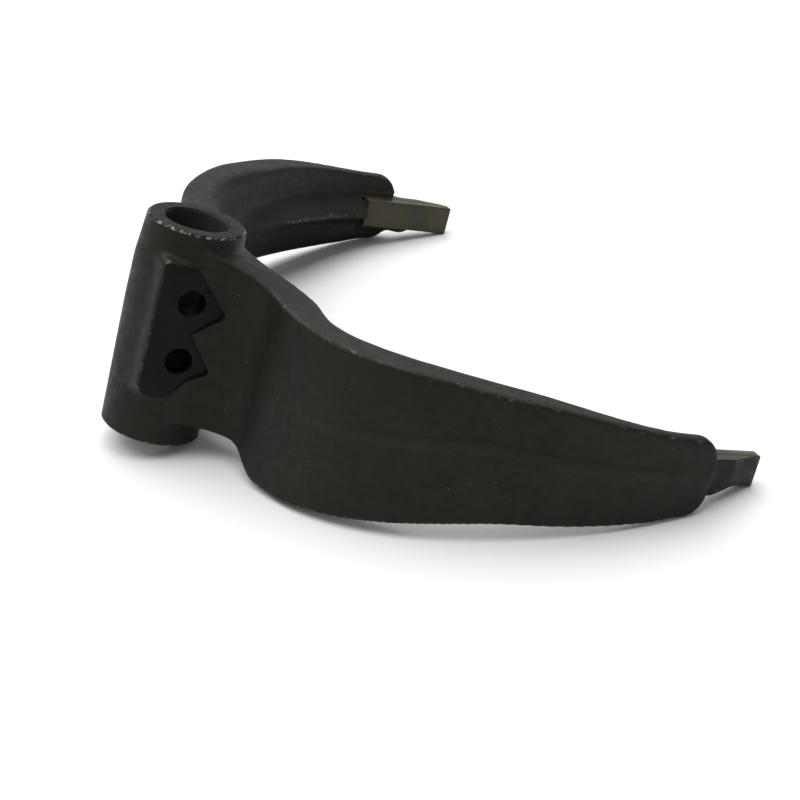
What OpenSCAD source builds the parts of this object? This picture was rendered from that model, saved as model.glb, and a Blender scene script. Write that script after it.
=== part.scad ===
// Gearbox selector fork: a hub that slides on the selector rail, and two
// mirrored forged arms with a machined wear pad at each tip. Millimetres.
// The fork is drawn about the rail axis: x towards the sliding sleeve, y across
// the fork and z along the rail, with z = 0 at the forging's parting plane.
// It is then laid down, resting on the hub's lower rim and on both pads.

/* [Hub] */
// Diameter of the selector-rail bore
bore_d = 20; // [16:0.5:22]
// Outer diameter of the hub's rim at the upper end
rim_d = 31.6; // [30:0.2:33]
// Hub diameter at the parting plane
hub_mid_d = 34; // [33.5:0.1:34.5]
// Hub diameter at the lower end
hub_low_d = 32; // [30:0.5:33]
// Height of the hub's upper end above the parting plane
hub_top = 26.5; // [25:0.5:30]
// Depth of the hub's lower end below the parting plane
hub_drop = 45; // [43:0.5:48]

/* [Cross holes] */
// Diameter of the two cross holes
cross_hole_d = 8.5; // [6:0.5:10]
// Distance between the cross holes, along the rail
cross_pitch = 19.5; // [18:0.5:21]
// Height of the upper cross hole above the parting plane
cross_top = 4.5; // [3:0.5:6]
// Angle of the cross holes from square to the fork
cross_angle = 10; // [0:1:14]
// Distance of the milled flat from the rail axis
flat_dist = 17.4; // [17.3:0.1:18]
// Corner radius of the mill that cuts the flat and its two lobes
mill_r = 1.6; // [1:0.1:2.4]

/* [Arms] */
// Half the width across both arms
arm_reach = 119; // [114:0.5:122]
// Distance from the rail axis to the end of the arm walls
wall_end = 131.5; // [129:0.5:132]
// Wall thickness near the elbow
elbow_t = 15; // [12:0.5:16]
// Wall thickness at the tip
tip_t = 6.6; // [5.4:0.2:7.2]
// Greatest height of the arm walls above the parting plane
wall_top = 17; // [15.5:0.1:17.5]
// How far the elbow hangs below the parting plane
elbow_drop = 42.3; // [39:0.1:42.3]
// How far the tip hangs below the parting plane
tip_drop = 13.2; // [12:0.2:13.4]
// Draft of the walls, in mm for each mm of height
draft = 0.06; // [0.03:0.01:0.09]

/* [Pads] */
// Length of each wear pad
pad_len = 36.5; // [34:0.5:39]
// Thickness of each pad along the rail, which fits the sleeve's groove
pad_h = 10.5; // [9:0.5:11]
// Distance of each pad's working face from the fork's centre plane
pad_face = 106.5; // [105.5:0.5:107.5]
// Depth of each pad
pad_t = 4.2; // [3.5:0.1:5]

/* [Hidden] */

forged = [0.15, 0.15, 0.14];
ground = [0.33, 0.28, 0.23];
fine = 96;

// Hub
rim_chamfer = 0.7;
bore_chamfer = 0.8;
taper_z = 12;

// Boss with the milled flat, in axes turned to the cross holes
boss_left = 11.5;
boss_top = 17.2;
boss_low = -28.4;
boss_corner = 3;
cross_z = [cross_top, cross_top - cross_pitch];
flat_corner = -1.6;
lobe_reach = [11.4, 10.2];
lobe_rise = [-2.1, -2.2];
lobe_cusp = [1.7, -9.9];
lobe_heel = [3.9, -5.6];
boss_right = 11.8;

// Arm in plan: web, concave fillet and flank, a quarter ellipse and a straight end
arm_end = 126;
end_rings = [2.2, 2.4, 2.6, 2.7, 2.8, 2.9, 2.96, 3];
fillet_r = 18;
fillet_x = -2;
flank_x = fillet_x + fillet_r;
flank_w = 40;
fillet_w = 35.5;
root_swell = 1.3;
span_x = arm_end - flank_x;
span_w = arm_reach - flank_w;
web_x = 21.5;
elbow_x = 31.2;
root_steps = 12;
sweep_steps = 44;

// Arm in side view
web_top = 18;
web_slope = 0.2;
flank_top = 15.3;
tip_top = wall_top - 3.7;
web_drop = 36.5;
tip_sag = 1.6;
sweep_sag = 0.7;
far_sag = 0.6;
edge_r = 1.6;
under_slope = 0.16;
low_lean_max = 0.2;
end_round_top = 8;
end_round_low = 8;

// Rib inside each arm, which leads to the pad
rib_half = 5.2;
rib_nose = 0.8;
rib_depth = 8.8;
rib_start = 48;
rib_full = 86;
rib_taper = 1.2;
min_rib = 0.2;

// Pad, and the tongue that backs it past the end of the wall
pad_x0 = 117.5;
pad_x1 = pad_x0 + pad_len;
pad_half = pad_h / 2;
pad_back = pad_face + pad_t;
pad_edge = 0.6;
tongue_x = [wall_end - 12, wall_end + 1, wall_end + 9, pad_x1 - 3];
tongue_w = [arm_reach - 1.2, arm_reach - 2.6, arm_reach - 4.4, pad_back + 0.5];

// Laying the fork down: the hub's lower rim and the pads touch the surface
foot_r = hub_low_d / 2 - rim_chamfer;
lean = atan((hub_drop - pad_half) / (pad_x1 - foot_r));
lift = pad_x1 * sin(lean) + pad_half * cos(lean);
reach_back = hub_low_d / 2 * cos(lean) + (hub_drop - rim_chamfer) * sin(lean);
reach_front = pad_x1 * cos(lean) + pad_half * sin(lean);
shift = (reach_back - reach_front) / 2;

function smooth(t) = let (c = min(1, max(0, t))) c * c * (3 - 2 * c);
function mix(a, b, t) = a + (b - a) * t;

// Outer edge of an arm in plan: u is 0 at the hub, 1 at the flank, 2 where the
// ellipse ends and 3 at the end of the wall
function outer(u) =
    u < 0.25 ? [fillet_x, mix(0, fillet_w - fillet_r, u / 0.25)] :
    u < 0.75 ? fillet_point((u - 0.25) * 180) :
    u < 1 ? [flank_x, mix(fillet_w, flank_w, (u - 0.75) / 0.25)] :
    u < 2 ? [arm_end - span_x * cos((u - 1) * 90), flank_w + span_w * sin((u - 1) * 90)] :
    [mix(arm_end, wall_end, u - 2), arm_reach];
function fillet_point(a) =
    let (x = fillet_x + fillet_r * sin(a),
         swell = root_swell * smooth((x + 3) / 5) * (1 - smooth((x - 8) / 8)))
        [x, fillet_w - fillet_r * cos(a) + swell];

// Unit normal of the elliptical outer edge, towards the sleeve
function inward(u) =
    let (a = min(90, (u - 1) * 90), n = [span_w * cos(a), -span_x * sin(a)]) n / norm(n);

// Inner edge of an arm in plan
function wall_t(x) = mix(elbow_t, tip_t, smooth((x - 50) / 68));
function inner(u) =
    u < 1 ? [mix(web_x, elbow_x, smooth((u * flank_w - 2) / 36)), u * flank_w] :
    let (t = wall_t(outer(u).x), t0 = elbow_x - flank_x)
        outer(u) + inward(u) * mix(t0, t, smooth((u - 1) / 0.25));

// Heights of an arm's upper and lower edges
function end_drop(x, r) = let (d = max(0, x - wall_end + r)) r - sqrt(max(0, r * r - d * d));
function sweep_top(x) =
    wall_top - 2.2 * (1 - smooth((x - 22) / 28)) - (wall_top - tip_top) * smooth((x - 70) / 56);
function sweep_low(x) =
    let (s = min(1, max(0, (x - 20) / (arm_end - 20))),
         h = sin(180 * min(1, max(0, (x - 62) / 72))))
        -mix(tip_drop, elbow_drop, pow(1 - s, 1.75)) - tip_sag * h * h
            - (sweep_sag + far_sag * smooth((x - 66) / 20))
                * smooth((x - 22) / 14) * (1 - smooth((x - 112) / 14));
function root_top(p) =
    mix(web_top + web_slope * min(26, max(0, web_x - p.x)), flank_top, smooth((p.y - 12) / 30));
function top_z(u, p) =
    u < 1 ? root_top(p) :
    mix(root_top(p), sweep_top(outer(u).x), smooth((u - 1) / 0.25))
        - end_drop(outer(u).x, end_round_top);
function low_z(u) =
    let (root = -mix(web_drop, elbow_drop, smooth((u - 0.65) / 0.5)))
        (u < 1.15 ? root : mix(root, sweep_low(outer(u).x), smooth((u - 1.15) / 0.15)))
        + (u > 1.5 ? end_drop(outer(u).x, end_round_low) : 0);

// How much the inner face leans outwards below the rib, for each mm of depth
function low_lean(x) = low_lean_max * smooth((x - 36) / 20) * (1 - smooth((x - 70) / 42));

// Depth of the inner rib
function rib(x) = x > pad_x0 + 1 ? 0 :
    rib_depth * smooth((x - rib_start) / (rib_full - rib_start))
        - rib_taper * smooth((x - 98) / 20);

// Cross-section of an arm at u, as [distance from the outer edge, height]
function section(u, t) =
    let (zo = top_z(u, outer(u)), zt = top_z(u, inner(u)), zb = low_z(u),
         dt = zt * draft, db = -zb * draft, lean_in = low_lean(outer(u).x) * (-zb - 4),
         rise = under_slope * t, nose = max(min_rib, rib(outer(u).x)),
         h = min(rib_half, zt - edge_r - 0.4, -zb - rise - edge_r - 0.4))
    [
        [0, 0],
        [dt / 2, zo - edge_r],
        [dt / 2 + edge_r, zo],
        [t - dt - edge_r, zt],
        [t - dt, zt - edge_r],
        [t, h],
        [t + nose, rib_nose],
        [t + nose, -rib_nose],
        [t, -h],
        [t - db - lean_in, zb + rise + edge_r],
        [t - db - lean_in - edge_r, zb + rise],
        [db / 2 + edge_r, zb],
        [db / 2, zb + edge_r]
    ];

// The same section as points in space
function ring(u) =
    let (o = outer(u), i = inner(u), t = norm(i - o), d = (i - o) / t)
        [for (p = section(u, t)) [o.x + d.x * p[0], o.y + d.y * p[0], p[1]]];

// One arm, swept from the centre plane to the end of its wall
module swept_arm() {
    us = concat(
        [for (i = [0 : root_steps - 1]) i / root_steps],
        [for (i = [0 : sweep_steps]) 1 + i / sweep_steps],
        end_rings
    );
    rings = [for (u = us) ring(u)];
    n = len(rings[0]);
    m = len(rings);
    points = [for (r = rings) for (p = r) p];
    sides = [for (j = [0 : m - 2]) for (i = [0 : n - 1]) let (k = (i + 1) % n)
        each [
            [j * n + i, (j + 1) * n + i, (j + 1) * n + k],
            [j * n + i, (j + 1) * n + k, j * n + k]
        ]];
    root_cap = [for (i = [0 : n - 1]) i];
    tip_cap = [for (i = [n - 1 : -1 : 0]) (m - 1) * n + i];
    polyhedron(points, concat(sides, [root_cap, tip_cap]), convexity = 8);
}

// Forged backing of the pad, past the end of the wall
module tongue() {
    outline = concat(
        [[tongue_x[0], pad_back]],
        [for (i = [0 : len(tongue_x) - 1]) [tongue_x[i], tongue_w[i]]],
        [[pad_x1 - 1, pad_back]]
    );
    translate([0, 0, -pad_half])
        linear_extrude(pad_h)
            polygon(outline);
}

// Solid of revolution of the hub's outside
module hub_outside() {
    rim_r = rim_d / 2;
    rotate_extrude($fn = fine)
        polygon([
            [0, -hub_drop],
            [foot_r, -hub_drop],
            [hub_low_d / 2, rim_chamfer - hub_drop],
            [hub_mid_d / 2, -2],
            [hub_mid_d / 2, taper_z],
            [rim_r, hub_top - rim_chamfer],
            [rim_r - rim_chamfer, hub_top],
            [0, hub_top]
        ]);
}

// Turns things to the cross holes: x across the flat, y out of it
module at_cross_holes() {
    rotate([0, 0, -cross_angle])
        rotate([0, 0, 180])
            children();
}

// Block of the boss, out to the milled flat
module boss_block() {
    c = boss_corner;
    right = boss_right;
    at_cross_holes()
        rotate([-90, 0, 0])
            linear_extrude(flat_dist)
                polygon([
                    [boss_left, -boss_low - c],
                    [boss_left - c, -boss_low],
                    [-right, -boss_low - 2],
                    [-right, -boss_top],
                    [boss_left - c, -boss_top],
                    [boss_left, -boss_top + c]
                ]);
}

// What the mill takes from the arm's root in front of the flat: the space of the
// flat, and a pointed lobe beside each cross hole
module milled_space() {
    depth = 20;
    overlap = 0.3;
    low = boss_low - 1;
    tips = [for (i = [0, 1]) [lobe_reach[i], cross_z[i] + lobe_rise[i]]];
    outline = [
        [-boss_left - 10, low],
        [flat_corner - 2, low],
        [flat_corner + 1, boss_low + 2],
        [lobe_heel.x, cross_z[1] + lobe_heel.y],
        tips[1],
        [lobe_cusp.x, cross_top + lobe_cusp.y],
        tips[0],
        [flat_corner, boss_top],
        [-boss_left - 10, boss_top]
    ];
    at_cross_holes()
        translate([0, flat_dist - overlap, 0])
            rotate([-90, 0, 0])
                linear_extrude(depth)
                    offset(r = mill_r, $fn = fine)
                        offset(delta = -mill_r)
                            polygon([for (p = outline) [-p.x, -p.y]]);
}

module rail_bore() {
    translate([0, 0, -hub_drop - 1])
        cylinder(h = hub_drop + hub_top + 2, d = bore_d, $fn = fine);
    for (side = [1, -1])
        translate([0, 0, side > 0 ? hub_top : -hub_drop])
            mirror([0, 0, side > 0 ? 0 : 1])
                translate([0, 0, -bore_chamfer])
                    cylinder(h = 2 * bore_chamfer, d1 = bore_d, d2 = bore_d + 4 * bore_chamfer, $fn = fine);
}

module cross_holes() {
    at_cross_holes()
        for (z = cross_z)
            translate([0, 0, z])
                rotate([-90, 0, 0])
                    cylinder(h = flat_dist + 1, d = cross_hole_d, $fn = fine);
}

// Lays the fork down, with the origin under the middle of its box
module lay_down() {
    translate([shift, 0, lift])
        rotate([0, lean, 0])
            children();
}

module hub() {
    color(forged)
        lay_down()
            difference() {
                union() {
                    hub_outside();
                    boss_block();
                }
                rail_bore();
                cross_holes();
            }
}

// Seat of the pad, cut through the end of the rib
module pad_seat() {
    width = 20;
    translate([pad_x0, pad_back - width, -width])
        cube([pad_len + width, width, 2 * width]);
}

module arm_body() {
    difference() {
        swept_arm();
        pad_seat();
    }
    tongue();
}

module rear_arm() {
    color(forged)
        lay_down()
            difference() {
                arm_body();
                hub_outside();
            }
}

module front_arm() {
    color(forged)
        lay_down()
            difference() {
                mirror([0, 1, 0])
                    arm_body();
                hub_outside();
                boss_block();
                milled_space();
            }
}

// Machined wear block at a tip, on the side of positive y
module pad() {
    translate([pad_x0, pad_face, -pad_half])
        linear_extrude(pad_h)
            polygon([
                [pad_edge, 0],
                [pad_len - pad_edge, 0],
                [pad_len, pad_edge],
                [pad_len, pad_t],
                [0, pad_t],
                [0, pad_edge]
            ]);
}

module rear_pad() {
    color(ground)
        lay_down()
            pad();
}

module front_pad() {
    color(ground)
        lay_down()
            mirror([0, 1, 0])
                pad();
}

hub();
front_arm();
rear_arm();
front_pad();
rear_pad();
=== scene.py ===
import math
import bpy
import numpy as np
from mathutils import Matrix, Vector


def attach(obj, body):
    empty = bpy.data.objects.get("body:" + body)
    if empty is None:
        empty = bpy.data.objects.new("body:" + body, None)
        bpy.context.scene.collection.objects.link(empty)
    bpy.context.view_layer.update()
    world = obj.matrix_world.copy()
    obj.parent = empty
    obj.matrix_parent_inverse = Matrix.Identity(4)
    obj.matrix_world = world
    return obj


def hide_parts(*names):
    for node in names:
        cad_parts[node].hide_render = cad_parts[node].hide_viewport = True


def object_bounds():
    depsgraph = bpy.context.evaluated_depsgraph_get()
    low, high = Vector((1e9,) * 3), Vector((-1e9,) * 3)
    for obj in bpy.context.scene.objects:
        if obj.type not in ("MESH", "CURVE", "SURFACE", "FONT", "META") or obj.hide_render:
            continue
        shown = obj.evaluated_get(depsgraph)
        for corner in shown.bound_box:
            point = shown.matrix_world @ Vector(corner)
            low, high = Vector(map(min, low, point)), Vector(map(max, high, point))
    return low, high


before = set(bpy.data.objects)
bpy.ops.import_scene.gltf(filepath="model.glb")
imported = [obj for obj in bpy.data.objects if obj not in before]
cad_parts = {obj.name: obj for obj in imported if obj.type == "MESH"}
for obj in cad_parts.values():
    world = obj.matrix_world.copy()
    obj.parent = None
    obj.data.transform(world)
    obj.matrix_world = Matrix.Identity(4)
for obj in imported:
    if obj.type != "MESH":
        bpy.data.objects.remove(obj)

import openvdb
from mathutils import Matrix, Vector
from mathutils.bvhtree import BVHTree
from mathutils.kdtree import KDTree

cad_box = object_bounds()
MM = 0.001

# ---------------------------------------------------------------- dimensions
# Millimetres, about the rail axis: x towards the pads, y across the fork and
# z along the rail, with z = 0 at the forging's parting plane.
BORE_R = 10.0
RIM_R = 15.77
TAPER_Z = 12.0
HUB_MID_R = 17.0
HUB_LOW_R = 16.0
HUB_TOP = 26.5
HUB_LOW = -45.0
SEAM_R = 17.05
RIM_CHAMFER = 0.7
BORE_CHAMFER = 0.8

BOSS_LEFT = 11.5
BOSS_TOP = 17.2
BOSS_LOW = -28.4
BOSS_TURN = math.radians(10)
FLAT_DIST = 17.4
LOBE_TIPS = ((11.4, 2.4), (10.2, -17.2))
LOBE_CUSP = (1.7, -5.4)
LOBE_HEEL = (3.9, -20.6)
MILL_R = 1.6
CROSS_R = 4.25
CROSS_Z = (4.5, -15.0)
FLAT_RIGHT_TOP = -1.6
FLAT_RIGHT_LOW = -0.6

ARM_REACH = 119.0
ARM_END = 126.0
WALL_END = 131.5
ELBOW_T = 15.0
TIP_T = 6.6
WALL_TOP = 17.0
TIP_TOP = 13.3
WEB_TOP = 18.0
WEB_SLOPE = 0.2
FLANK_TOP = 15.3
WEB_DROP = 36.5
ELBOW_DROP = 42.7
TIP_DROP = 13.5
TIP_SAG = 1.6
SWEEP_SAG = 0.7
FAR_SAG = 0.6
UNDER_SLOPE = 0.16
END_ROUND = 8.0
DRAFT = 0.06
OUTER_DRAFT = 0.03
LOW_LEAN = 0.27
FILLET_X = -2.0
FILLET_R = 18.0
FILLET_W = 35.5
ROOT_SWELL = 1.3
FLANK_W = 40.0
FLANK_X = FILLET_X + FILLET_R
WEB_X = 21.5
ELBOW_X = 31.2
FLASH_PROUD = 0.32

RIB_HALF = 5.6
RIB_NOSE = 0.8
RIB_DEPTH = 8.8
RIB_TAPER = 1.2

PAD_X0 = 117.5
PAD_X1 = 154.0
PAD_HALF = 5.25
PAD_FACE = 106.5
PAD_BACK = 110.7
TONGUE_TOP = 6.6
TONGUE_LOW = 9.2
TONGUE_LOW_END = 5.8
RELIEF_TOP = 7.3
RELIEF_OUT = ARM_REACH - TIP_T + 0.7

# The fork rests on the hub's lower edge and the pads' ends, centred in x.
FOOT_R = HUB_LOW_R - RIM_CHAMFER
LEAN = math.atan((-HUB_LOW - PAD_HALF) / (PAD_X1 - FOOT_R))
LIFT = PAD_X1 * math.sin(LEAN) + PAD_HALF * math.cos(LEAN)
REACH_BACK = HUB_LOW_R * math.cos(LEAN) + (-HUB_LOW - RIM_CHAMFER) * math.sin(LEAN)
REACH_FRONT = PAD_X1 * math.cos(LEAN) + PAD_HALF * math.sin(LEAN)
SHIFT = (cad_box[0][0] + cad_box[1][0]) / 2 / MM + (REACH_BACK - REACH_FRONT) / 2

CELL = 0.7


def lay_down():
    """Matrix from fork millimetres to the row's metres."""
    turn = Matrix.Rotation(LEAN, 4, "Y")
    return Matrix.Scale(MM, 4) @ Matrix.Translation((SHIFT, 0, LIFT)) @ turn


LAY = lay_down()


# ------------------------------------------------------------ small functions
def smooth(t):
    c = np.clip(t, 0.0, 1.0)
    return c * c * (3 - 2 * c)


def mix(a, b, t):
    return a + (b - a) * t


def blend_union(a, b, k):
    """Smooth union of two distance fields, with a fillet of about k."""
    h = np.clip(k - np.abs(a - b), 0.0, None) / k
    return np.minimum(a, b) - h * h * k * 0.25


def round_corner(a, b, r):
    """Intersection of two fields whose common edge is rounded by r."""
    ax = np.maximum(a + r, 0.0)
    bx = np.maximum(b + r, 0.0)
    return np.minimum(np.maximum(a + r, b + r), 0.0) + np.sqrt(ax * ax + bx * bx) - r


def wave(s, seed, lengths, size):
    """A repeatable uneven line along s: sines of these wavelengths, in random phase."""
    rng = np.random.RandomState(seed)
    total = np.zeros_like(s)
    for length in lengths:
        total += np.sin(2 * math.pi * s / length + rng.uniform(0, 2 * math.pi))
    return size * total / len(lengths)


# ------------------------------------------------------------- plan of an arm
def outer_curve():
    """Outer edge: web, concave fillet and flank, quarter ellipse, run-out."""
    pts = [(FILLET_X, w) for w in np.linspace(-30, FILLET_W - FILLET_R, 40)]
    for a in np.linspace(0, math.pi / 2, 30)[1:]:
        px = FILLET_X + FILLET_R * math.sin(a)
        swell = ROOT_SWELL * float(smooth((px + 3) / 5) * (1 - smooth((px - 8) / 8)))
        pts.append((px, FILLET_W - FILLET_R * math.cos(a) + swell))
    for a in np.linspace(0, math.pi / 2, 160):
        pts.append((ARM_END - (ARM_END - FLANK_X) * math.cos(a),
                    FLANK_W + (ARM_REACH - FLANK_W) * math.sin(a)))
    pts += [(x, ARM_REACH) for x in np.linspace(ARM_END + 1, ARM_END + 50, 20)]
    return np.array(pts)


def wall_t(x):
    return mix(ELBOW_T, TIP_T, smooth((x - 50) / 68))


def inner_curve():
    """Inner edge: from the web to the elbow, then the wall's thickness inside the ellipse."""
    pts = [(WEB_X, w) for w in np.linspace(-30, -1, 20)]
    for w in np.linspace(0, FLANK_W, 40)[:-1]:
        pts.append((float(mix(WEB_X, ELBOW_X, smooth((w - 2) / 36))), w))
    span_x, span_w = ARM_END - FLANK_X, ARM_REACH - FLANK_W
    for i, a in enumerate(np.linspace(0, math.pi / 2, 160)):
        o = np.array((ARM_END - span_x * math.cos(a), FLANK_W + span_w * math.sin(a)))
        n = np.array((span_w * math.cos(a), -span_x * math.sin(a)))
        n /= np.linalg.norm(n)
        t = mix(ELBOW_X - FLANK_X, float(wall_t(o[0])), float(smooth(i / 159 * 4)))
        pts.append(tuple(o + n * t))
    pts += [(x, ARM_REACH - TIP_T) for x in np.linspace(ARM_END + 1, ARM_END + 50, 20)]
    return np.array(pts)


def signed_distance(curve, x, w):
    """Distance from a curve in plan, positive on its left side, and the length along it."""
    a, b = curve[:-1], curve[1:]
    seg = b - a
    length = np.linalg.norm(seg, axis=1)
    along = np.concatenate([[0], np.cumsum(length)])[:-1]
    best = np.full(x.shape, 1e9)
    side = np.ones(x.shape)
    run = np.zeros(x.shape)
    for i in range(len(a)):
        dx, dw = x - a[i, 0], w - a[i, 1]
        t = np.clip((dx * seg[i, 0] + dw * seg[i, 1]) / length[i] ** 2, 0, 1)
        px, pw = dx - t * seg[i, 0], dw - t * seg[i, 1]
        d = px * px + pw * pw
        near = d < best
        best = np.where(near, d, best)
        cross = seg[i, 0] * dw - seg[i, 1] * dx
        side = np.where(near, np.sign(cross), side)
        run = np.where(near, along[i] + t * length[i], run)
    return np.sqrt(best) * side, run


# ------------------------------------------------------------ heights of an arm
def top_height(x, w):
    web = WEB_TOP + WEB_SLOPE * np.clip(WEB_X - x, 0, 26)
    root = mix(web, FLANK_TOP, smooth((w - 12) / 30))
    sweep = WALL_TOP - 2.2 * (1 - smooth((x - 22) / 28))
    sweep = sweep - (WALL_TOP - TIP_TOP) * smooth((x - 70) / 56)
    return mix(root, sweep, smooth((w - 38) / 20))


def low_height(x, w):
    root = -mix(WEB_DROP, ELBOW_DROP, smooth((w - 28) / 18))
    s = np.clip((x - 20) / (ARM_END - 20), 0, 1)
    sag = TIP_SAG * np.sin(math.pi * np.clip((x - 62) / 72, 0, 1)) ** 2
    along = smooth((x - 22) / 14) * (1 - smooth((x - 112) / 14))
    sag = sag + (SWEEP_SAG + FAR_SAG * smooth((x - 66) / 20)) * along
    sweep = -mix(TIP_DROP, ELBOW_DROP, (1 - s) ** 1.75) - sag
    return mix(root, sweep, smooth((w - 52) / 16))


def parting_height(x, w):
    """The parting line dips towards the elbow and the hub."""
    return -12.0 * (1 - smooth((x - 14) / 52)) * smooth((w - 18) / 30)


def flash_band(off, run):
    """1 on the trimmed flash, off above the parting line, and 0 past its uneven edges."""
    up = 1.9 + wave(run, 11, (31, 17, 9), 0.5)
    low = 1.6 + wave(run, 12, (23, 11, 5, 2.7), 0.7)
    on_band = np.where(off > 0, off / up, -off / low)
    return 1 - smooth((on_band - 0.85) / 0.3)


# ------------------------------------------------------- distance field of arm
def arm_field(x, w, z):
    """One arm on a grid: x and w are (nx, nw), z is (nz,). Returns (nx, nw, nz)."""
    d_out, run = signed_distance(outer_curve(), x, w)
    d_in, _ = signed_distance(inner_curve(), x, w)
    d_in = -d_in
    top, low, part = top_height(x, w), low_height(x, w), parting_height(x, w)
    X, W = x[..., None], w[..., None]
    Z = z[None, None, :]
    off = Z - part[..., None]
    flash = FLASH_PROUD * flash_band(off, run[..., None]) * smooth((w - 58) / 14)[..., None]
    swept = smooth((w - 34) / 24)[..., None]
    lean_out = OUTER_DRAFT * np.clip(np.abs(Z) - 1.5, 0, None)
    outer = d_out[..., None] + (0.34 + lean_out) * swept - flash
    lean_low = (LOW_LEAN * smooth((x - 36) / 20) * (1 - smooth((x - 70) / 42)))[..., None]
    inner = d_in[..., None] + DRAFT * np.clip(np.abs(Z) - 1.0, 0, None)
    inner = inner + np.minimum(lean_low * np.clip(-Z - 4.0, 0, None), 5.0)
    ceiling = Z - top[..., None]
    rise = UNDER_SLOPE * np.clip(-d_out, 0, ELBOW_T)
    floor = (low + rise)[..., None] - Z
    tipness = smooth((x - 40) / 60)[..., None]
    edge_in = mix(2.6, mix(5.6, 1.6, tipness), smooth((w - 34) / 16)[..., None])
    wall = round_corner(outer, ceiling, 1.7)
    wall = round_corner(wall, floor, 1.5)
    inside = round_corner(inner, ceiling, np.minimum(edge_in, 0.45 * wall_t(X)))
    inside = round_corner(inside, floor, 2.6)
    end = np.where(Z > 0, round_corner(X - WALL_END, ceiling, END_ROUND),
                   round_corner(X - WALL_END, floor, END_ROUND))
    wall = round_corner(np.maximum(wall, inside), end, 0.9)
    body = blend_union(wall, rib_field(X, Z, d_in[..., None], d_out[..., None]), 1.6)
    return blend_union(body, tongue_field(X, W, Z), 2.4)


def rib_field(X, Z, d_in, d_out):
    """Wedge along the inner face, with its nose at the parting line."""
    depth = RIB_DEPTH * smooth((X - 48) / 38) - RIB_TAPER * smooth((X - 98) / 20)
    flank = RIB_HALF - RIB_NOSE
    slope = (np.abs(Z + 0.4) - RIB_NOSE) / flank
    nose = d_in - depth * (1 - np.clip(slope, 0, 2))
    nose = nose * flank / np.sqrt(flank ** 2 + depth ** 2)
    rib = np.maximum(nose, -d_in - 2.0)
    rib = np.maximum(rib, np.abs(Z) - RIB_HALF - 0.6)
    rib = np.maximum(rib, X - PAD_X0 - 6)
    return np.maximum(rib, d_out + 1.0)


def tongue_field(X, W, Z):
    """Forged backing of the pad, past the wall's end."""
    xs = [100, 126, WALL_END, WALL_END + 3.5, 142, 147, PAD_X1, PAD_X1 + 10]
    ws = [117.4, 117.6, 116.8, 115.1, 114.9, 113.2, 110.9, 110.6]
    edge = np.interp(X, xs, ws)
    out = (W - edge) + 0.16 * np.abs(Z)
    upper = Z - TONGUE_TOP
    lower = -Z - mix(TONGUE_LOW, TONGUE_LOW_END, smooth((X - 136) / 8))
    lower = lower + 0.35 * np.clip(edge - W, 0, 8)
    body = round_corner(round_corner(out, upper, 1.2), lower, 2.2)
    ends = np.maximum(PAD_X0 + 2 - X, X - PAD_X1 - 1)
    return np.maximum(np.maximum(body, PAD_BACK - 1.5 - W), ends)


# ------------------------------------------------------- distance field of hub
def hub_radius(z):
    """Radius of the forged tube at the height z, before its ends are faced."""
    zs = [-60, HUB_LOW, -2, TAPER_Z, HUB_TOP, 40]
    rs = [HUB_LOW_R, HUB_LOW_R, HUB_MID_R, HUB_MID_R, RIM_R, RIM_R]
    return np.interp(z, zs, rs)


def turned(x, y):
    """Position across the milled flat, and out of it, from the rail axis."""
    c, s = math.cos(BOSS_TURN), math.sin(BOSS_TURN)
    return x * c - y * s, -x * s - y * c


def hub_field(x, y, z):
    r = np.sqrt(x * x + y * y)[..., None]
    return r - hub_radius(z)[None, None, :]


def boss_field(x, y, z):
    """Raised block under the milled flat."""
    across, out = turned(x, y)
    A, O = across[..., None], out[..., None]
    Z = z[None, None, :]
    sink = 0.22 * (O - FLAT_DIST)
    left = -BOSS_LEFT - A + sink
    body = round_corner(left, Z - BOSS_TOP + sink, 2.2)
    body = round_corner(body, BOSS_LOW - Z + sink, 4.4)
    body = round_corner(body, O - FLAT_DIST - 0.15, 1.1)
    return np.maximum(np.maximum(body, A - 1.0), 2.0 - O)


def forging_field(x, y, z):
    """The whole forging as it leaves the dies, on a full grid."""
    half = y >= -1e-6
    w = y[half]
    X, W = np.meshgrid(x, w, indexing="ij")
    arm = arm_field(X, W, z)
    hub = hub_field(X, W, z)
    body = blend_union(arm, hub, 1.6)
    full = np.concatenate([body[:, :0:-1, :], body], axis=1)
    n = full.shape[1] // 2
    Xf, Yf = np.meshgrid(x, y[y < 1e-6], indexing="ij")
    boss = boss_field(Xf, Yf, z)
    full[:, :n + 1, :] = blend_union(full[:, :n + 1, :], boss, 1.2)
    return full


def uneven_skin(p):
    """Slow unevenness of a forged skin at points p, in millimetres."""
    a = np.sin(p[:, 0] / 6.1 + 1.3 * np.sin(p[:, 1] / 8.3)) * np.sin(p[:, 2] / 5.2 + 0.7)
    b = np.sin(p[:, 1] / 4.7 + 0.9 * np.sin(p[:, 2] / 6.6)) * np.sin(p[:, 0] / 9.4 + 2.1)
    c = np.sin((p[:, 0] + p[:, 1]) / 14.0) * np.sin((p[:, 2] - p[:, 1]) / 17.0)
    return 0.07 * a + 0.06 * b + 0.10 * c


# ------------------------------------------------------------------- meshing
def new_object(name, verts, faces, smooth_shade=True):
    mesh = bpy.data.meshes.new(name)
    mesh.from_pydata([tuple(v) for v in verts], [], [tuple(f) for f in faces])
    mesh.validate()
    mesh.update()
    if smooth_shade:
        mesh.shade_smooth()
    obj = bpy.data.objects.new(name, mesh)
    bpy.context.scene.collection.objects.link(obj)
    return obj


def vectors(items, name):
    """A property with three numbers, of every vertex, face or corner, as rows."""
    flat = np.zeros(len(items) * 3, np.float32)
    items.foreach_get(name, flat)
    return flat.reshape(-1, 3).astype(np.float64)


def coords(mesh):
    return vectors(mesh.vertices, "co")


def normals(mesh):
    return vectors(mesh.vertices, "normal")


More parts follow.
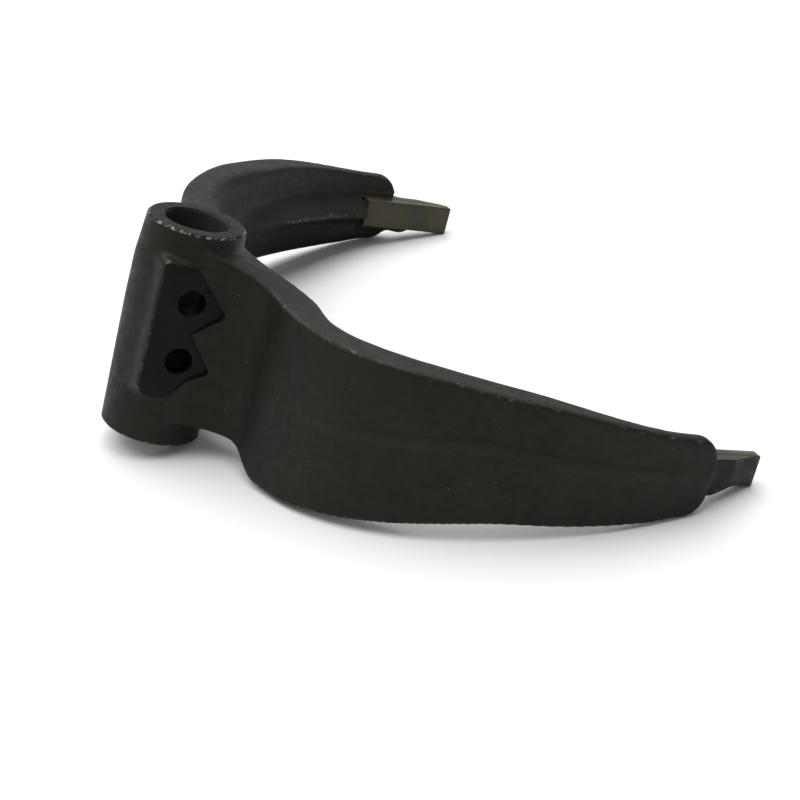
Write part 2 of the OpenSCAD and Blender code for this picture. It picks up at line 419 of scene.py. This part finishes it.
def set_coords(mesh, co):
    mesh.vertices.foreach_set("co", co.astype(np.float32).ravel())
    mesh.update()


def forging_skin():
    """The forging as a mesh, a little long at both ends of the hub for the facing cuts."""
    pad = 2 * CELL
    x = np.arange(-HUB_MID_R - 6 - pad, PAD_X1 + 3 + pad, CELL)
    n = int(math.ceil((ARM_REACH + 2 + pad) / CELL))
    y = np.arange(-n, n + 1) * CELL
    z = np.arange(HUB_LOW - 3 - pad, HUB_TOP + 3 + pad, CELL)
    field = forging_field(x, y, z)
    ends = np.maximum(HUB_LOW - 1.5 - z, z - HUB_TOP - 1.5)[None, None, :]
    field = np.maximum(field, ends)
    grid = openvdb.FloatGrid(3.0)
    grid.copyFromArray(np.clip(field, -3, 3).astype(np.float32))
    points, quads = grid.convertToQuads(0.0)
    points = points.astype(np.float64) * CELL + np.array([x[0], y[0], z[0]])
    obj = new_object("skin", points, quads)
    mesh = obj.data
    p = coords(mesh)
    p += normals(mesh) * uneven_skin(p)[:, None] * skin_weight(p)[:, None]
    p[:, 1] = np.clip(p[:, 1], 0.01 - ARM_REACH, ARM_REACH - 0.01)
    set_coords(mesh, p)
    return obj


def skin_weight(p):
    """The unevenness fades out at the widest points and the hub's back, so that the box is kept."""
    reach = np.abs(p[:, 1])
    return (1 - smooth((reach - ARM_REACH + 4) / 3)) * smooth((p[:, 0] + 15) / 6)


# ------------------------------------------------------------------- cutters
def ring_faces(rings, sides):
    """Faces of a closed solid whose points are stacked rings with as many sides."""
    faces = []
    for j in range(rings - 1):
        for i in range(sides):
            k = (i + 1) % sides
            faces.append((j * sides + i, j * sides + k, (j + 1) * sides + k, (j + 1) * sides + i))
    faces.append(tuple(range(sides - 1, -1, -1)))
    faces.append(tuple((rings - 1) * sides + i for i in range(sides)))
    return faces


def lathe(name, profile, sides=128):
    """Solid of revolution about z from (radius, height) pairs, low to high."""
    verts = []
    for r, h in profile:
        for i in range(sides):
            a = 2 * math.pi * i / sides
            verts.append((r * math.cos(a), r * math.sin(a), h))
    return new_object(name, verts, ring_faces(len(profile), sides), False)


def box(name, low, high):
    (x0, y0, z0), (x1, y1, z1) = low, high
    verts = [(x, y, z) for z in (z0, z1) for y in (y0, y1) for x in (x0, x1)]
    faces = [(0, 2, 3, 1), (4, 5, 7, 6), (0, 1, 5, 4), (2, 6, 7, 3), (0, 4, 6, 2), (1, 3, 7, 5)]
    return new_object(name, verts, faces, False)


def to_flat():
    """Turns a cutter's +z to the way out of the milled flat, and its x across it."""
    c, s = math.cos(BOSS_TURN), math.sin(BOSS_TURN)
    return Matrix(((c, 0, -s, 0), (-s, 0, -c, 0), (0, 1, 0, 0), (0, 0, 0, 1)))


def carve(target, cutter, operation="DIFFERENCE", keep=False):
    mod = target.modifiers.new("cut", "BOOLEAN")
    mod.operation = operation
    mod.solver = "MANIFOLD"
    mod.object = cutter
    apply_modifiers(target)
    if not keep:
        bpy.data.objects.remove(cutter)


def apply_modifiers(obj):
    deps = bpy.context.evaluated_depsgraph_get()
    deps.update()
    mesh = bpy.data.meshes.new_from_object(obj.evaluated_get(deps))
    old = obj.data
    obj.modifiers.clear()
    obj.data = mesh
    bpy.data.meshes.remove(old)


def moved(obj, matrix):
    obj.data.transform(matrix)
    obj.data.update()
    return obj


def machine(forging):
    """Every machined face, cut crisp into the forged skin."""
    machine_hub(forging)
    for side in (-1, 1):
        machine_tip(forging, side)


def machine_hub(forging):
    """Faced ends, bore, milled flat and cross holes."""
    wide, narrow = 60.0, 20.5
    carve(forging, box("cut_top", (-wide, -wide, HUB_TOP), (wide, wide, HUB_TOP + 20)))
    carve(forging, box("cut_low", (-narrow, -narrow, HUB_LOW - 20), (narrow, narrow, HUB_LOW)))
    carve(forging, chamfer_ring("cut_rim", RIM_R, RIM_CHAMFER, HUB_TOP, 1))
    carve(forging, chamfer_ring("cut_rim", HUB_LOW_R, RIM_CHAMFER, HUB_LOW, -1))
    flare = BORE_R + BORE_CHAMFER + 1
    bore = [(flare, HUB_LOW - 1), (BORE_R, HUB_LOW + BORE_CHAMFER),
            (BORE_R, HUB_TOP - BORE_CHAMFER), (flare, HUB_TOP + 1)]
    carve(forging, lathe("cut_bore", bore, 160))
    carve(forging, moved(flat_cutter(), to_flat()))
    for z in CROSS_Z:
        hole = [(CROSS_R, 2), (CROSS_R, FLAT_DIST - 0.35), (CROSS_R + 0.7, FLAT_DIST + 0.35)]
        hole = moved(lathe("cut_hole", hole, 96), Matrix.Translation((0, z, 0)))
        carve(forging, moved(hole, to_flat()))


def machine_tip(forging, side):
    """Seat of one pad, the relief beside it, and the ground faces of its tongue."""
    far = PAD_X1 + 20
    carve(forging, side_box("cut_seat", side, (PAD_X0, 60, -40), (far, PAD_BACK, 40)))
    relief = (PAD_X0 - 0.4, 60, PAD_HALF)
    carve(forging, side_box("cut_relief", side, relief, (PAD_X1, RELIEF_OUT, RELIEF_TOP)))
    top = (WALL_END - 0.4, PAD_BACK - 2, PAD_HALF)
    carve(forging, side_box("cut_tongue", side, top, (far, ARM_REACH - 2.6, 9.5)))
    low = (ARM_END + 16, PAD_BACK - 2, -40)
    carve(forging, side_box("cut_tongue", side, low, (far, ARM_REACH + 5, -PAD_HALF)))
    end = (PAD_X1 - 0.4, PAD_BACK - 2, -40)
    carve(forging, side_box("cut_end", side, end, (far, ARM_REACH + 5, 40)))
    notch = lathe("cut_notch", [(0.7, -8), (0.7, 8)], 40)
    notch = moved(notch, Matrix.Rotation(math.pi / 2, 4, "X"))
    carve(forging, moved(notch, Matrix.Translation((PAD_X0 - 0.4, side * 104.5, 4.1))))


def rounded(corners, radius, steps=8):
    """Outline of a polygon, anticlockwise, with its outward corners rounded."""
    pts = [np.array(c, float) for c in corners]
    outline = []
    for i, p in enumerate(pts):
        before, after = pts[i - 1] - p, pts[(i + 1) % len(pts)] - p
        u, v = before / np.linalg.norm(before), after / np.linalg.norm(after)
        half = math.acos(float(np.clip(u @ v, -1, 1))) / 2
        if u[0] * v[1] - u[1] * v[0] > 0 or math.cos(half) < 0.2:
            outline.append(tuple(p))
            continue
        cut = radius / math.tan(half)
        centre = p + (u + v) / np.linalg.norm(u + v) * radius / math.sin(half)
        start, end = p + u * cut - centre, p + v * cut - centre
        a0 = math.atan2(start[1], start[0])
        turn = (math.atan2(end[1], end[0]) - a0 + math.pi) % (2 * math.pi) - math.pi
        for k in range(steps + 1):
            t = a0 + turn * k / steps
            outline.append((centre[0] + radius * math.cos(t), centre[1] + radius * math.sin(t)))
    return outline


def flat_cutter():
    """What the mill sweeps: the flat, and a pointed lobe into the arm's root at each hole."""
    top, low = BOSS_TOP + 0.2, BOSS_LOW - 0.6
    step = FLAT_RIGHT_TOP - 3
    corners = [(-40.0, low - 8), (step, low - 8), (step, low),
               (FLAT_RIGHT_LOW, BOSS_LOW + 2.0), LOBE_HEEL, LOBE_TIPS[1], LOBE_CUSP, LOBE_TIPS[0],
               (FLAT_RIGHT_TOP, top), (FLAT_RIGHT_TOP, top + 4), (-40.0, top + 4)]
    outline = rounded(corners, MILL_R)
    verts = [(x, y, h) for h in (FLAT_DIST, FLAT_DIST + 30) for x, y in outline]
    return new_object("cut_flat", verts, ring_faces(2, len(outline)), False)


def side_box(name, side, low, high):
    """A box given for positive y, on the chosen side."""
    ys = sorted((side * low[1], side * high[1]))
    return box(name, (low[0], ys[0], low[2]), (high[0], ys[1], high[2]))


def chamfer_ring(name, r, c, face, sign):
    """Ring with a slanted inside that breaks an outer rim at the height face."""
    pts = [(r - c, face), (r + 3, face - sign * (c + 3)),
           (r + 3, face + sign * 3), (r - c, face + sign * 3)]
    if sign < 0:
        pts.reverse()
    sides = 160
    verts = []
    for rr, h in pts:
        for i in range(sides):
            a = 2 * math.pi * i / sides
            verts.append((rr * math.cos(a), rr * math.sin(a), h))
    faces = []
    for j in range(4):
        for i in range(sides):
            k = (i + 1) % sides
            m = (j + 1) % 4
            faces.append((j * sides + i, j * sides + k, m * sides + k, m * sides + i))
    return new_object(name, verts, faces, False)


def copy_of(obj, name):
    new = bpy.data.objects.new(name, obj.data.copy())
    bpy.context.scene.collection.objects.link(new)
    return new


def hub_tool(name):
    """Space of the hub's own piece: its cylinder and the block of the boss."""
    tool = lathe(name, [(SEAM_R, HUB_LOW - 5), (SEAM_R, HUB_TOP + 5)], 200)
    block = box("tool_block", (-BOSS_LEFT - 6, BOSS_LOW - 6, 4),
                (LOBE_TIPS[0][0] + 0.5, BOSS_TOP + 3, FLAT_DIST + 0.02))
    carve(tool, moved(block, to_flat()), "UNION")
    return tool


def split(forging):
    """The forging's hub and its two arms, as pieces that meet face to face."""
    hub = copy_of(forging, "fork_hub")
    arms = copy_of(forging, "fork_arms")
    tool = hub_tool("tool_hub")
    carve(hub, tool, "INTERSECT", keep=True)
    carve(arms, tool, "DIFFERENCE")
    front = copy_of(arms, "fork_front_arm")
    rear = arms
    rear.name = "fork_rear_arm"
    reach = 400.0
    carve(front, box("half", (-reach, -reach, -reach), (reach, 0.0, reach)), "INTERSECT")
    carve(rear, box("half", (-reach, 0.0, -reach), (reach, reach, reach)), "INTERSECT")
    return hub, front, rear


def finish_mesh(mesh):
    """Smooth skin, with sharp edges where machined faces meet."""
    mesh.shade_smooth()
    mesh.set_sharp_from_angle(angle=math.radians(32))


def heal_seams(mesh, forging):
    """Where the pieces meet, both take the normals of the forging before it was split."""
    source = forging.data
    co, no = coords(source), normals(source)
    near = KDTree(len(co))
    for i, p in enumerate(co):
        near.insert(p, i)
    near.balance()
    surface = BVHTree.FromPolygons(co.tolist(), [tuple(f.vertices) for f in source.polygons])
    kinds = machined_faces(mesh)
    inner = [surface.find_nearest(c)[3] > 0.04 for c in vectors(mesh.polygons, "center")]
    seam = set()
    for face in mesh.polygons:
        if inner[face.index]:
            seam.update(face.vertices)
    corners = vectors(mesh.corner_normals, "vector")
    for face in mesh.polygons:
        if inner[face.index] or kinds[face.index]:
            continue
        for loop, vert in zip(face.loop_indices, face.vertices):
            if vert in seam:
                corners[loop] = no[near.find(mesh.vertices[vert].co)[1]]
    mesh.normals_split_custom_set(corners.tolist())


# ---------------------------------------------------------------------- pads
def make_pad(name, side):
    """Ground block with finely broken edges."""
    pad = side_box(name, side, (PAD_X0, PAD_FACE, -PAD_HALF), (PAD_X1, PAD_BACK, PAD_HALF))
    bevel = pad.modifiers.new("edges", "BEVEL")
    bevel.width = 0.45
    bevel.segments = 3
    bevel.limit_method = "ANGLE"
    apply_modifiers(pad)
    pad.data.shade_smooth()
    pad.data.set_sharp_from_angle(angle=math.radians(40))
    return pad


# ------------------------------------------------------ where each finish goes
def whole_numbers(items, name, each=1):
    """A property of whole numbers, of every edge, face or corner."""
    flat = np.zeros(len(items) * each, np.int32)
    items.foreach_get(name, flat)
    return flat


def neighbour_mean(values, ends, count):
    total = np.bincount(ends[:, 0], values[ends[:, 1]], count)
    total += np.bincount(ends[:, 1], values[ends[:, 0]], count)
    near = np.bincount(ends.ravel(), minlength=count)
    return total / np.maximum(near, 1)


def convexity(co, no, ends):
    """How sharply the surface turns outward at each vertex, about 1 on a crisp edge."""
    step = co[ends[:, 1]] - co[ends[:, 0]]
    length = np.maximum(np.linalg.norm(step, axis=1), 1e-6)
    turn = np.einsum("ij,ij->i", no[ends[:, 1]] - no[ends[:, 0]], step) / length ** 2
    turn = np.clip(turn, -2.0, 2.0) * length
    count = len(co)
    weight = np.bincount(ends.ravel(), np.repeat(length, 2), count)
    bend = np.bincount(ends.ravel(), np.repeat(turn, 2), count) / np.maximum(weight, 1e-6)
    for _ in range(2):
        bend = 0.5 * bend + 0.5 * neighbour_mean(bend, ends, count)
    return bend


def on_flash(co):
    """The trimmed flash line on the outer face of an arm."""
    x, w, z = co[:, 0], np.abs(co[:, 1]), co[:, 2]
    d_out, run = signed_distance(outer_curve(), x, w)
    band = flash_band(z - parting_height(x, w), run)
    return band * (1 - smooth((np.abs(d_out) - 1.6) / 1.0)) * smooth((w - 50) / 20)


def heat(co):
    """Tempering colours around the pads."""
    x, w, z = co[:, 0], np.abs(co[:, 1]), co[:, 2]
    near = smooth((x - 112) / 16) * smooth((w - 98) / 6)
    return near * (0.75 + 0.25 * np.sin(x / 3.1 + z / 4.7))


def add_values(mesh, name, values):
    layer = mesh.attributes.new(name, "FLOAT", "POINT")
    layer.data.foreach_set("value", values.astype(np.float32))


def paint_values(mesh):
    """What the forged and dark finishes read: flash, heat, and wear with a painted highlight along
    the boss's outer edge.
    """
    co, no = coords(mesh), normals(mesh)
    ends = whole_numbers(mesh.edges, "vertices", 2).reshape(-1, 2)
    add_values(mesh, "flash", on_flash(co))
    add_values(mesh, "heat", heat(co))
    # Edge wear, with a painted highlight on the boss's outer edge.
    worn_and_highlit = np.clip(convexity(co, no, ends) * 2.2, 0, 1) * can_wear(co)
    corner = whole_numbers(mesh.loops, "vertex_index")
    total = whole_numbers(mesh.polygons, "loop_total")
    on_machined = np.repeat(np.where(machined_faces(mesh) > 0, rim_wear(mesh), -1.0), total)
    layer = mesh.attributes.new("wear", "FLOAT", "CORNER")
    wear = np.where(on_machined < 0, worn_and_highlit[corner], on_machined)
    layer.data.foreach_set("value", wear.astype(np.float32))


def can_wear(co):
    """Rubbing shows on the arms away from the hub; along the boss's outer edge the same brightening
    is a painted highlight, standing in for light caught by that edge.
    """
    across, out = turned(co[:, 0], co[:, 1])
    # Painted highlight: the boss's outer edge is brightened as if it caught the light.
    boss = (np.abs(out - FLAT_DIST) < 1.2) & (across < -BOSS_LEFT + 3)
    return np.where(boss, 1.0, smooth((np.abs(co[:, 1]) - 26) / 8))


def rim_wear(mesh):
    """The narrow chamfers of the hub's two ends are rubbed."""
    c, n = face_data(mesh)
    r = np.hypot(c[:, 0], c[:, 1])
    slanted = (np.abs(n[:, 2]) > 0.3) & (np.abs(n[:, 2]) < 0.9)
    at_end = (c[:, 2] > HUB_TOP - RIM_CHAMFER) | (c[:, 2] < HUB_LOW + RIM_CHAMFER)
    return np.where(slanted & at_end & (r > BORE_R + 2), 0.42, 0.0)


def face_data(mesh):
    return vectors(mesh.polygons, "center"), vectors(mesh.polygons, "normal")


def machined_faces(mesh):
    """0 forged skin, 1 turned or milled under the dark finish, 2 ground bright, 3 bored."""
    c, n = face_data(mesh)
    x, y, z = c.T
    r = np.hypot(x, y)
    kind = np.zeros(len(c), np.int32)
    dark = (r < RIM_R + 0.1) & (z > HUB_TOP - RIM_CHAMFER - 0.05)
    dark |= z < HUB_LOW + RIM_CHAMFER + 0.02
    across, out = turned(x, y)
    dark |= (np.abs(out - FLAT_DIST) < 0.05) & (across > -14) & (across < 12)
    out_n = -n[:, 0] * math.sin(BOSS_TURN) - n[:, 1] * math.cos(BOSS_TURN)
    mill_wall = (out > FLAT_DIST) & (out < 25) & (across < 10) & (np.abs(z) < 30)
    dark |= mill_wall & (np.abs(out_n) < 0.001)
    for h in CROSS_Z:
        dark |= (out > 0) & (np.hypot(across, z - h) < CROSS_R + 0.8) & (r < 19)
    kind[dark] = 1
    kind[(r < BORE_R + 0.05) & (np.abs(n[:, 2]) < 0.3)] = 3
    w = np.abs(y)
    on_top = np.abs(z - PAD_HALF) < 0.03
    bright = (x > WALL_END - 0.5) & (w > PAD_BACK - 0.1)
    bright &= on_top | (np.abs(z + PAD_HALF) < 0.03) | (x > PAD_X1 - 0.45)
    relief = (x > PAD_X0 - 0.5) & (w < RELIEF_OUT + 0.05) & (np.abs(z - PAD_HALF) < 2.1)
    bright |= relief & ((np.abs(w - RELIEF_OUT) < 0.03) | on_top)
    kind[bright] = 2
    return kind


# ---------------------------------------------------------------- build pieces
whole = forging_skin()
machine(whole)
hub, front_arm, rear_arm = split(whole)
front_pad = make_pad("fork_front_pad", -1)
rear_pad = make_pad("fork_rear_pad", 1)
for piece in (hub, front_arm, rear_arm):
    finish_mesh(piece.data)
    heal_seams(piece.data, whole)
    paint_values(piece.data)
bpy.data.objects.remove(whole)


# ------------------------------------------------------------------ materials
class Nodes:
    """Short ways to build a node material."""

    def __init__(self, name):
        self.mat = bpy.data.materials.new(name)
        self.mat.use_nodes = True
        self.tree = self.mat.node_tree
        self.bsdf = self.tree.nodes["Principled BSDF"]
        self.place = self.tree.nodes.new("ShaderNodeTexCoord").outputs["Object"]

    def link(self, out, socket):
        self.tree.links.new(out, socket)

    def value(self, name):
        node = self.tree.nodes.new("ShaderNodeAttribute")
        node.attribute_name = name
        return node.outputs["Fac"]

    def noise(self, scale, detail, rough, stretch=None):
        node = self.tree.nodes.new("ShaderNodeTexNoise")
        node.inputs["Scale"].default_value = scale
        node.inputs["Detail"].default_value = detail
        node.inputs["Roughness"].default_value = rough
        place = self.place
        if stretch:
            shaped = self.tree.nodes.new("ShaderNodeMapping")
            shaped.inputs["Scale"].default_value = stretch
            shaped.inputs["Rotation"].default_value = (0, LEAN, 0)
            self.link(place, shaped.inputs["Vector"])
            place = shaped.outputs["Vector"]
        self.link(place, node.inputs["Vector"])
        return node.outputs["Fac"]

    def spots(self, scale):
        node = self.tree.nodes.new("ShaderNodeTexVoronoi")
        node.inputs["Scale"].default_value = scale
        self.link(self.place, node.inputs["Vector"])
        return node.outputs["Distance"]

    def ramp(self, source, low, high, to_low=0.0, to_high=1.0):
        node = self.tree.nodes.new("ShaderNodeMapRange")
        node.interpolation_type = "SMOOTHSTEP"
        node.inputs["From Min"].default_value = low
        node.inputs["From Max"].default_value = high
        node.inputs["To Min"].default_value = to_low
        node.inputs["To Max"].default_value = to_high
        self.link(source, node.inputs["Value"])
        return node.outputs["Result"]

    def math(self, how, a, b):
        node = self.tree.nodes.new("ShaderNodeMath")
        node.operation = how
        for source, socket in ((a, node.inputs[0]), (b, node.inputs[1])):
            if isinstance(source, (int, float)):
                socket.default_value = source
            else:
                self.link(source, socket)
        return node.outputs["Value"]

    def blend(self, fac, a, b):
        node = self.tree.nodes.new("ShaderNodeMix")
        node.data_type = "RGBA"
        self.link(fac, node.inputs["Factor"])
        for source, socket in ((a, node.inputs[6]), (b, node.inputs[7])):
            if isinstance(source, tuple):
                socket.default_value = (*source, 1)
            else:
                self.link(source, socket)
        return node.outputs[2]

    def bump(self, height, depth, strength=1.0, below=None):
        node = self.tree.nodes.new("ShaderNodeBump")
        node.inputs["Strength"].default_value = strength
        node.inputs["Distance"].default_value = depth
        self.link(height, node.inputs["Height"])
        if below is not None:
            self.link(below, node.inputs["Normal"])
        return node.outputs["Normal"]

    def finish(self, colour, rough, normal, metal, gloss):
        self.link(colour, self.bsdf.inputs["Base Color"])
        self.link(rough, self.bsdf.inputs["Roughness"])
        self.link(normal, self.bsdf.inputs["Normal"])
        self.link(metal, self.bsdf.inputs["Metallic"])
        self.bsdf.inputs["Specular IOR Level"].default_value = gloss
        self.bsdf.inputs["Specular Tint"].default_value = (0.97, 1.0, 0.88, 1)
        return self.mat


def forged_finish():
    """Near-black phosphated forging: mottled, finely pitted, rubbed bright at its edges, with a
    painted highlight along the boss's outer edge.
    """
    m = Nodes("forged_skin")
    slow = m.ramp(m.noise(48, 5, 0.6), 0.36, 0.68)
    grain = m.ramp(m.noise(620, 4, 0.65), 0.30, 0.72)
    colour = m.blend(slow, (0.0048, 0.0054, 0.0036), (0.0074, 0.0080, 0.0056))
    colour = m.blend(m.math("MULTIPLY", grain, 0.25), colour, (0.0130, 0.0138, 0.0105))
    band = m.value("flash")
    colour = m.blend(m.math("MULTIPLY", band, 0.4), colour, (0.0120, 0.0124, 0.0092))
    tint = m.math("MULTIPLY", m.value("heat"), m.ramp(m.noise(130, 3, 0.5), 0.3, 0.6, 0.45, 0.9))
    colour = m.blend(tint, colour, (0.0220, 0.0165, 0.0095))
    # Bright edges: real rubbing on the arms, and a painted highlight along the boss's outer edge.
    edge_brightening = m.math("MULTIPLY", m.value("wear"), m.ramp(m.noise(420, 5, 0.75), 0.44, 0.66))
    edge_brightening = m.ramp(edge_brightening, 0.30, 0.75)
    patches = m.ramp(m.noise(210, 2, 0.5), 0.66, 0.74)
    nicks = m.math("MULTIPLY", patches, m.ramp(m.noise(1500, 2, 0.6), 0.55, 0.7))
    bare_and_highlight = m.math("MAXIMUM", m.math("MULTIPLY", edge_brightening, 0.4), m.math("MULTIPLY", nicks, 0.45))
    colour = m.blend(bare_and_highlight, colour, (0.17, 0.165, 0.15))
    rough = m.ramp(m.noise(260, 4, 0.6), 0.3, 0.75, 0.50, 0.66)
    rough = m.math("SUBTRACT", rough, m.math("MULTIPLY", bare_and_highlight, 0.18))
    coarse = m.bump(m.noise(150, 4, 0.6), 0.0003, 0.13)
    pits = m.bump(m.spots(520), 0.00008, 0.22, coarse)
    fine = m.bump(m.noise(1700, 3, 0.6), 0.00004, 0.5, pits)
    return m.finish(colour, rough, fine, m.math("MULTIPLY", bare_and_highlight, 0.8), 0.22)


def dark_machined_finish(name, deep, light):
    """Machined faces under the same dark finish: smoother, with faint tool marks."""
    m = Nodes(name)
    slow = m.ramp(m.noise(70, 4, 0.6), 0.35, 0.7)
    colour = m.blend(slow, deep, light)
    marks = m.noise(260, 3, 0.6, (1, 1, 22))
    colour = m.blend(m.ramp(marks, 0.45, 0.8, 0.0, 0.35), colour, (0.0105, 0.0110, 0.0085))
    edge_brightening = m.math("MULTIPLY", m.value("wear"), m.ramp(m.noise(500, 5, 0.75), 0.42, 0.62))
    edge_brightening = m.ramp(edge_brightening, 0.12, 0.5, 0.0, 0.85)
    colour = m.blend(edge_brightening, colour, (0.24, 0.235, 0.21))
    rough = m.ramp(m.noise(330, 4, 0.6), 0.3, 0.75, 0.40, 0.54)
    lines = m.bump(marks, 0.00005, 0.5)
    fine = m.bump(m.noise(1500, 3, 0.6), 0.00003, 0.5, lines)
    return m.finish(colour, rough, fine, m.math("MULTIPLY", edge_brightening, 0.8), 0.11)


def ground_finish():
    """Ground and hardened steel: brown-grey, with bands of tempering colour along the pad."""
    m = Nodes("ground_pad")
    split_place = m.tree.nodes.new("ShaderNodeSeparateXYZ")
    m.link(m.place, split_place.inputs["Vector"])
    along = m.math("ADD", split_place.outputs["X"], m.math("MULTIPLY", m.noise(90, 3, 0.6), 0.010))
    slow = m.ramp(m.noise(110, 4, 0.6), 0.3, 0.7)
    colour = m.blend(slow, (0.027, 0.0236, 0.0140), (0.041, 0.0358, 0.0218))
    blue = m.math("MULTIPLY", m.ramp(along, 0.072, 0.078), m.ramp(along, 0.080, 0.087, 1.0, 0.0))
    colour = m.blend(m.math("MULTIPLY", blue, 0.8), colour, (0.0215, 0.0170, 0.0160))
    rust = m.math("MULTIPLY", m.ramp(along, 0.082, 0.088), m.ramp(m.noise(140, 3, 0.5), 0.35, 0.6))
    colour = m.blend(m.math("MULTIPLY", rust, 0.6), colour, (0.045, 0.028, 0.014))
    lines = m.noise(300, 3, 0.6, (1.5, 1, 40))
    colour = m.blend(m.ramp(lines, 0.45, 0.8, 0.0, 0.4), colour, (0.066, 0.058, 0.042))
    rough = m.ramp(m.noise(380, 4, 0.6), 0.3, 0.75, 0.34, 0.50)
    fine = m.bump(m.noise(1600, 3, 0.6), 0.00003, 0.4, m.bump(lines, 0.00005, 0.5))
    metal = m.ramp(slow, 0.0, 1.0, 0.15, 0.30)
    return m.finish(colour, rough, fine, metal, 0.34)


forged = forged_finish()
dark_cut = dark_machined_finish(
    "dark_machined", (0.0036, 0.0040, 0.0028), (0.0056, 0.0060, 0.0044))
# Painted light: the bore is coloured far lighter than the dark forging, standing in for light that
# shows inside the shaded bore.
bore_painted_light = dark_machined_finish(
    "bore_with_painted_light", (0.022, 0.026, 0.022), (0.034, 0.038, 0.032))
ground = ground_finish()
PIECES = {
    "hub": (hub, "forged_steel"),
    "front_arm": (front_arm, "forged_steel"),
    "rear_arm": (rear_arm, "forged_steel"),
    "front_pad": (front_pad, "ground_steel"),
    "rear_pad": (rear_pad, "ground_steel"),
}
for node, (piece, slot) in PIECES.items():
    piece.data.materials.clear()
    if slot == "forged_steel":
        kinds = machined_faces(piece.data)
        for mat in (forged, dark_cut, ground, bore_painted_light):
            piece.data.materials.append(mat)
        piece.data.polygons.foreach_set("material_index", kinds)
    else:
        piece.data.materials.append(ground)
    moved(piece, LAY)
    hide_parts(node)
    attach(piece, "root")


# ---------------------------------------------------------------- stage, light
def make_stage():
    mat = bpy.data.materials.new("floor")
    mat.use_nodes = True
    bsdf = mat.node_tree.nodes["Principled BSDF"]
    bsdf.inputs["Base Color"].default_value = (0.82, 0.82, 0.82, 1)
    bsdf.inputs["Roughness"].default_value = 0.8
    bsdf.inputs["Specular IOR Level"].default_value = 0.2
    size = 6.0
    verts = [(-size, -size, 0), (size, -size, 0), (size, size, 0), (-size, size, 0)]
    floor = new_object("floor", verts, [(0, 1, 2, 3)], False)
    floor.data.materials.append(mat)


def area_light(name, place, target, size, power):
    data = bpy.data.lights.new(name, "AREA")
    data.shape = "RECTANGLE"
    data.size, data.size_y = size
    data.energy = power
    light = bpy.data.objects.new(name, data)
    bpy.context.scene.collection.objects.link(light)
    light.location = place
    aim = Vector(target) - Vector(place)
    light.rotation_euler = aim.to_track_quat("-Z", "Y").to_euler()


make_stage()
world = bpy.data.worlds.new("studio")
bpy.context.scene.world = world
world.use_nodes = True
world.node_tree.nodes["Background"].inputs["Color"].default_value = (1, 1, 1, 1)
world.node_tree.nodes["Background"].inputs["Strength"].default_value = 0.37
bpy.context.scene.view_settings.view_transform = "Standard"
area_light("top", (-0.2, 0.7, 2.2), (0, 0.1, 0), (3.4, 3.4), 102)
area_light("back", (0.9, 2.4, 1.35), (0, 0, 0), (3.2, 1.6), 10)
area_light("left", (-1.6, 0.3, 0.9), (0, 0, 0), (1.0, 1.0), 2.5)

# --------------------------------------------------------------------- camera
# Millimetres, from the point of the floor below the fork's own origin
CAMERA_AT = (-203.1958, -597.8188, 343.0009)
CAMERA_DOWN = 0.4872
CAMERA_TURN = 0.4388
SENSOR = 36.0
LENS = 98.1945
camera_data = bpy.data.cameras.new("camera")
camera = bpy.data.objects.new("camera", camera_data)
bpy.context.scene.collection.objects.link(camera)
camera.location = ((CAMERA_AT[0] + SHIFT) * MM, CAMERA_AT[1] * MM, CAMERA_AT[2] * MM)
camera.rotation_euler = (math.pi / 2 - CAMERA_DOWN, 0, -CAMERA_TURN)
camera_data.sensor_width = SENSOR
camera_data.lens = LENS
bpy.context.scene.camera = camera
